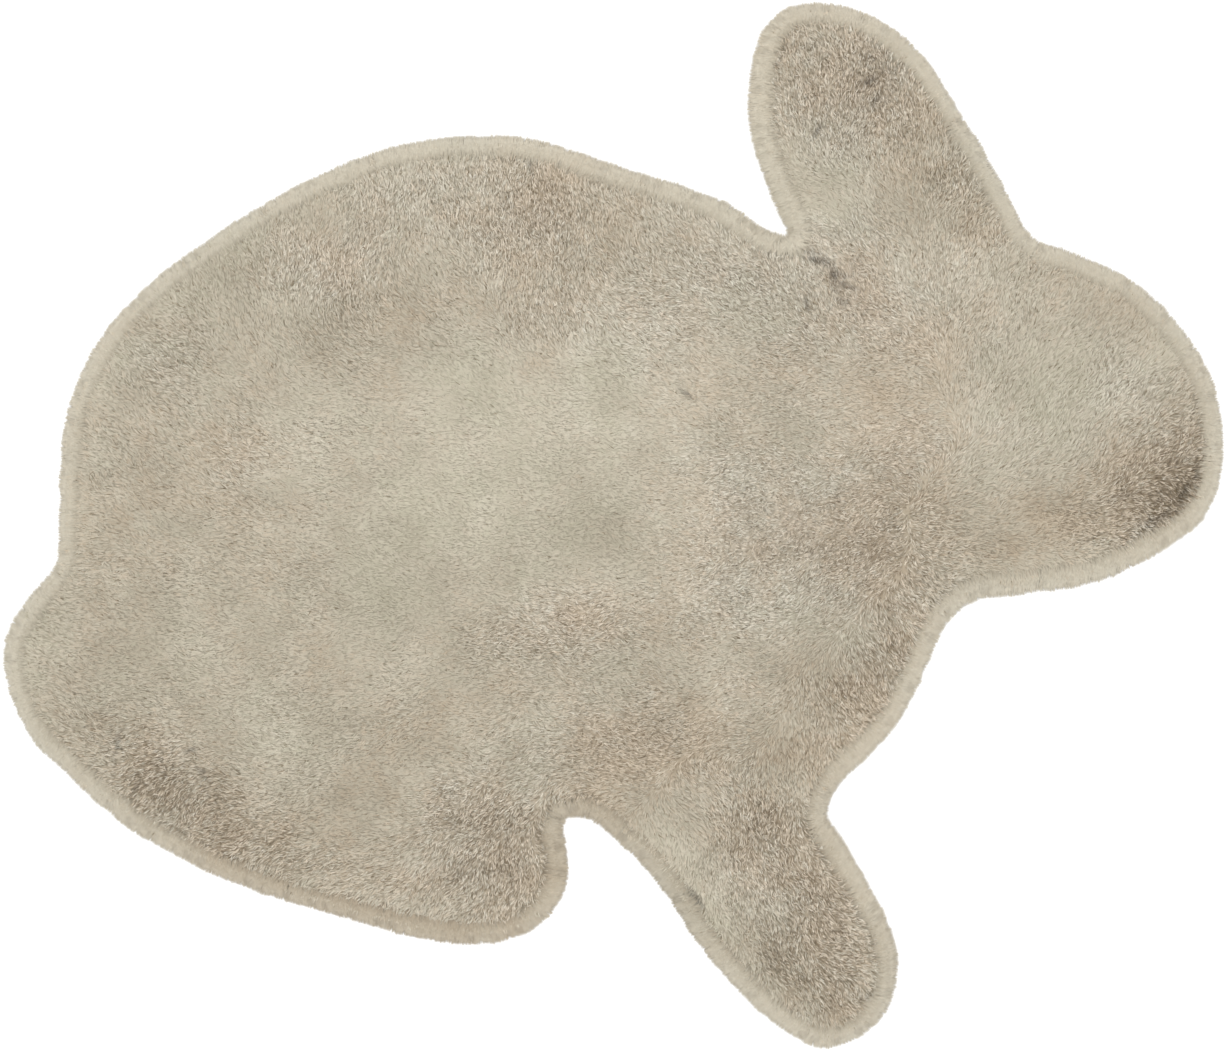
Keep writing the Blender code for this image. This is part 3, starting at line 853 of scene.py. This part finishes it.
def raise_hairs(rug, locks, laid, kept, random):
    """The kept ones of the laid hairs, with their heights."""
    count = len(kept)
    owner = laid.owner[kept]
    start, end = laid.start[kept], laid.end[kept]
    ruffle = locks.ruffle[owner]
    root_z = underfur_height(rug, start, ruffle) - ROOT_DEPTH
    lift = locks.lift[owner] + random.normal(0, 1, count) * by_ruffle(HAIR_LIFT, ruffle)
    tip_z = np.maximum(rug.at(rug.height, end) + lift - TIP_DROP, root_z + LEAST_RISE)
    middle = start + (end - start) * BEND_ALONG
    bend = BEND_HEIGHT + by_ruffle(BEND_SPREAD, ruffle) * random.uniform(-1, 1, count)
    width = HAIR_WIDTH * (1 - RUFFLED_THINNER * ruffle) * random.uniform(*HAIR_WIDTH_SPREAD, count)
    twist = random.normal(0, 1, count) * by_ruffle(HAIR_TWIST, ruffle)
    warmth = locks.warmth[owner] + random.normal(0, HAIR_WARMTH, count)
    return Hairs(
        root=np.column_stack([start, root_z]),
        middle=np.column_stack([middle, root_z + (tip_z - root_z) * bend]),
        tip=np.column_stack([end, tip_z]),
        width=width,
        twist=np.radians(twist),
        tone=laid.tone[kept],
        root_darker=by_ruffle(ROOT_PAINTED_SHADE, ruffle),
        warmth=np.clip(warmth, -1, 1),
        light=laid.light[kept],
    )


def build_body_hair(rug, material):
    random = np.random.default_rng(BODY_HAIR_SEED)
    locks = lay_locks(rug, random)
    laid = lay_hairs(locks, random)
    pieces = []
    for index in range(LOCK_LAYERS):
        kept = np.flatnonzero(laid.layer == index)
        hairs = raise_hairs(rug, locks, laid, kept, random)
        pieces.append(build_hair(f"fur_hair_{index + 1}", hairs, material))
    return pieces


def build_rim_hair(rug, material):
    """Long hair that falls outwards over the cut edge and ends at the rim."""
    random = np.random.default_rng(RIM_SEED)
    count = RIM_HAIRS
    at = random.integers(0, len(rug.rim), count)
    place = rug.rim[at] + random.uniform(-RIM_JITTER, RIM_JITTER, (count, 2))
    outward = rug.outward_at(place - rug.at(rug.outward, place) * RIM_LOOK_IN)
    near, far = RIM_ROOTS
    far = far * rim_width_at(place)
    inset = near + (far - near) * random.uniform(0, 1, count) ** RIM_CROWDING
    start = place - outward * inset[:, None]
    turn = noise_sum(place, RIM_TURN_NOISE) + random.normal(0, RIM_TURN, count)
    ahead = directions(angles_of(outward) + np.radians(turn))
    past = noise_sum(place, RIM_OVERHANG_NOISE) + random.uniform(*RIM_OVERHANG_SPREAD, count)
    farthest = inset + RIM_OVERHANG * past
    run = np.minimum(farthest, random.uniform(*RIM_RUN_SPREAD, count))
    end = start + ahead * run[:, None]
    middle = start + (end - start) * RIM_BEND_ALONG
    ruffle, body_tone, body_warmth = patch_values(start)
    root_z = underfur_height(rug, start, ruffle * RIM_RUFFLE_SHARE) - ROOT_DEPTH
    tip_z = np.maximum(rug.at(rug.height, end), RIM_TIP_SURFACE)
    tip_z = np.maximum(tip_z + random.uniform(*RIM_TIP_SPREAD, count), RIM_TIP_LEAST)
    middle_z = rug.at(rug.height, middle) + random.uniform(*RIM_BEND_SPREAD, count)
    middle_z = np.maximum(middle_z, RIM_BEND_LEAST)
    _, patch_tone, patch_warmth = sum_of_patches(RIM_PATCHES, place)
    tone = RIM_TONE + RIM_OUTER_PALER * falling(inset - run, RIM_OUTER_BAND)
    tone += RIM_BODY_TONE * body_tone + patch_tone + random.normal(0, RIM_TONE_SPREAD, count)
    warmth = RIM_WARMTH + RIM_BODY_WARMTH * body_warmth + patch_warmth
    warmth += random.normal(0, RIM_WARMTH_SPREAD, count)
    hairs = Hairs(
        root=np.column_stack([start, root_z]),
        middle=np.column_stack([middle, middle_z]),
        tip=np.column_stack([end, tip_z]),
        width=RIM_HAIR_WIDTH * random.uniform(*RIM_WIDTH_SPREAD, count),
        twist=np.radians(random.normal(0, RIM_TWIST, count)),
        tone=tone,
        root_darker=np.full(count, RIM_ROOT_PAINTED_SHADE),
        warmth=np.clip(warmth, -1, 1),
        light=1 - RIM_GAP_SHADE * gap_shade(end),
    )
    return build_hair("rim_hair", hairs, material)


def new_material(name):
    material = bpy.data.materials.new(name)
    material.use_nodes = True
    tree = material.node_tree
    return material, tree, tree.nodes["Principled BSDF"]


def ramp(tree, source, stops):
    node = tree.nodes.new("ShaderNodeValToRGB")
    elements = node.color_ramp.elements
    while len(elements) < len(stops):
        elements.new(0.5)
    for element, (position, colour) in zip(elements, stops):
        element.position = position
        element.color = (*colour, 1)
    tree.links.new(source, node.inputs["Fac"])
    return node.outputs["Color"]


def multiplied(tree, first, second):
    """The product of two colours. A Mix node's colour sockets are found by their type."""
    node = tree.nodes.new("ShaderNodeMix")
    node.data_type = "RGBA"
    node.blend_type = "MULTIPLY"
    node.inputs["Factor"].default_value = 1
    colours_in = [socket for socket in node.inputs if socket.type == "RGBA"]
    colours_out = [socket for socket in node.outputs if socket.type == "RGBA"]
    for source, socket in zip((first, second), colours_in):
        tree.links.new(source, socket)
    return colours_out[0]


def add_bump(tree, shader, height, strength, distance):
    bump = tree.nodes.new("ShaderNodeBump")
    bump.inputs["Strength"].default_value = strength
    bump.inputs["Distance"].default_value = distance
    tree.links.new(height, bump.inputs["Height"])
    tree.links.new(bump.outputs["Normal"], shader.inputs["Normal"])


# Dark, middle and pale tones
BODY_TONES = (
    (0.23, 0.192, 0.128),
    (0.541, 0.492, 0.395),
    (0.775, 0.735, 0.636),
)
RIM_TONES = (
    (0.35, 0.311, 0.238),
    (0.68, 0.637, 0.525),
    (0.84, 0.80, 0.683),
)
COOL_CAST = (0.955, 0.985, 0.955)
NO_CAST = (1, 1, 1)
WARM_CAST = (1.0, 0.925, 0.87)
MIDDLE_SHADE = 0.95  # painted shade at a hair's middle, beside 1 at its tip
GRAIN_SIZE = 1.5 * MM


def fur_material(name, root_shade, tones, grain_strength):
    """Hair coloured by its tone and warmth, with painted shade towards the root and in the gaps, and
    finely grained.
    """
    material, tree, shader = new_material(name)
    attribute = tree.nodes.new("ShaderNodeAttribute")
    attribute.attribute_name = "strand"
    parts = tree.nodes.new("ShaderNodeSeparateColor")
    tree.links.new(attribute.outputs["Color"], parts.inputs["Color"])
    along, tone, warmth = parts.outputs["Red"], parts.outputs["Green"], parts.outputs["Blue"]
    colour = ramp(tree, tone, tuple(zip((0.0, 0.5, 1.0), tones)))
    cast = ramp(tree, warmth, ((0.0, COOL_CAST), (0.5, NO_CAST), (1.0, WARM_CAST)))
    # painted shade: the colour darkens from the tip down to the root, and the gaps' painted shade
    # scales it below
    stops = ((0.0, root_shade), (0.55, MIDDLE_SHADE), (1.0, 1.0))
    depth = ramp(tree, along, tuple((position, (grey,) * 3) for position, grey in stops))
    shaded = multiplied(tree, multiplied(tree, colour, cast), depth)
    lit = tree.nodes.new("ShaderNodeVectorMath")
    lit.operation = "SCALE"
    tree.links.new(shaded, lit.inputs["Vector"])
    tree.links.new(attribute.outputs["Alpha"], lit.inputs["Scale"])
    tree.links.new(lit.outputs["Vector"], shader.inputs["Base Color"])
    place = tree.nodes.new("ShaderNodeTexCoord")
    grain = tree.nodes.new("ShaderNodeTexNoise")
    grain.inputs["Scale"].default_value = 1 / GRAIN_SIZE
    grain.inputs["Detail"].default_value = 2
    tree.links.new(place.outputs["Object"], grain.inputs["Vector"])
    add_bump(tree, shader, grain.outputs["Fac"], grain_strength, GRAIN_SIZE)
    shader.inputs["Roughness"].default_value = 0.75
    shader.inputs["Specular IOR Level"].default_value = 0.25
    shader.inputs["Sheen Weight"].default_value = 0.5
    shader.inputs["Sheen Roughness"].default_value = 0.5
    shader.inputs["Sheen Tint"].default_value = (1.0, 0.94, 0.84, 1)
    return material


KNIT_DARK = (0.36, 0.32, 0.26)
KNIT_PALE = (0.58, 0.53, 0.44)
KNIT_RELIEF = 0.4 * MM


def cloth_material():
    """Plain knit: rows of loops as bump, in the fur's own greige."""
    material, tree, shader = new_material("ground_knit")
    place = tree.nodes.new("ShaderNodeTexCoord")
    wale = tree.nodes.new("ShaderNodeTexWave")
    wale.bands_direction = "X"
    wale.inputs["Scale"].default_value = 160
    course = tree.nodes.new("ShaderNodeTexWave")
    course.bands_direction = "Y"
    course.inputs["Scale"].default_value = 120
    course.inputs["Distortion"].default_value = 1.5
    knit = tree.nodes.new("ShaderNodeMath")
    knit.operation = "MULTIPLY"
    for wave, factor in zip((wale, course), knit.inputs):
        tree.links.new(place.outputs["Object"], wave.inputs["Vector"])
        tree.links.new(wave.outputs["Fac"], factor)
    loops = knit.outputs["Value"]
    colour = ramp(tree, loops, ((0.0, KNIT_DARK), (1.0, KNIT_PALE)))
    tree.links.new(colour, shader.inputs["Base Color"])
    add_bump(tree, shader, loops, 0.6, KNIT_RELIEF)
    shader.inputs["Roughness"].default_value = 0.9
    return material


FLOOR_REACH = 4.0
FLOOR_COLOUR = (0.92, 0.92, 0.915, 1)


def build_floor():
    mesh = bpy.data.meshes.new("floor")
    corners = [(x * FLOOR_REACH, y * FLOOR_REACH, 0) for x, y in ((-1, -1), (1, -1), (1, 1), (-1, 1))]
    mesh.from_pydata(corners, [], [(0, 1, 2, 3)])
    material, _, shader = new_material("pale_floor")
    shader.inputs["Base Color"].default_value = FLOOR_COLOUR
    shader.inputs["Roughness"].default_value = 0.9
    shader.inputs["Specular IOR Level"].default_value = 0.1
    mesh.materials.append(material)
    floor = bpy.data.objects.new("floor", mesh)
    bpy.context.scene.collection.objects.link(floor)


LAMP_PLACE = (-0.15, 0.15, 3.6)
LAMP_SIZE = 1.8
LAMP_POWER = 85  # watts
SKY_STRENGTH = 0.88


def light_scene():
    """A large soft lamp high above, in an even white room."""
    scene = bpy.context.scene
    world = bpy.data.worlds.new("studio")
    world.use_nodes = True
    background = world.node_tree.nodes["Background"]
    background.inputs["Color"].default_value = (1, 1, 1, 1)
    background.inputs["Strength"].default_value = SKY_STRENGTH
    scene.world = world
    light = bpy.data.lights.new("lamp", "AREA")
    light.shape = "DISK"
    light.size = LAMP_SIZE
    light.energy = LAMP_POWER
    lamp = bpy.data.objects.new("lamp", light)
    lamp.location = LAMP_PLACE
    lamp.rotation_euler = (-lamp.location).to_track_quat("-Z", "Y").to_euler()
    scene.collection.objects.link(lamp)
    scene.view_settings.view_transform = "Standard"


PHOTO_WIDTH = 1.0078  # metres across the whole photo, at the level of the fur
PHOTO_MIDDLE = (0.0010, -0.0015)
FUR_LEVEL = 6 * MM
CAMERA_HEIGHT = 2.6
SENSOR = 36.0
CLIP_END = 20


def place_camera():
    data = bpy.data.cameras.new("camera")
    data.sensor_width = SENSOR
    data.lens = SENSOR * (CAMERA_HEIGHT - FUR_LEVEL) / PHOTO_WIDTH
    data.clip_end = CLIP_END
    camera = bpy.data.objects.new("camera", data)
    camera.location = (*PHOTO_MIDDLE, CAMERA_HEIGHT)
    bpy.context.scene.collection.objects.link(camera)
    bpy.context.scene.camera = camera


def main():
    place_camera()
    light_scene()
    build_floor()
    rug = RugShape(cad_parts[SOLID])
    build_ground_cloth(rug, cloth_material())
    underfur = build_underfur(rug, fur_material("underfur_pile", 0.9, BODY_TONES, 0.4))
    hair_look = fur_material("fur_pile", 0.84, BODY_TONES, 0.03)
    rim_look = fur_material("rim_pile", 0.8, RIM_TONES, 0.05)
    for piece in [underfur, *build_body_hair(rug, hair_look), build_rim_hair(rug, rim_look)]:
        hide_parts(SOLID)


main()
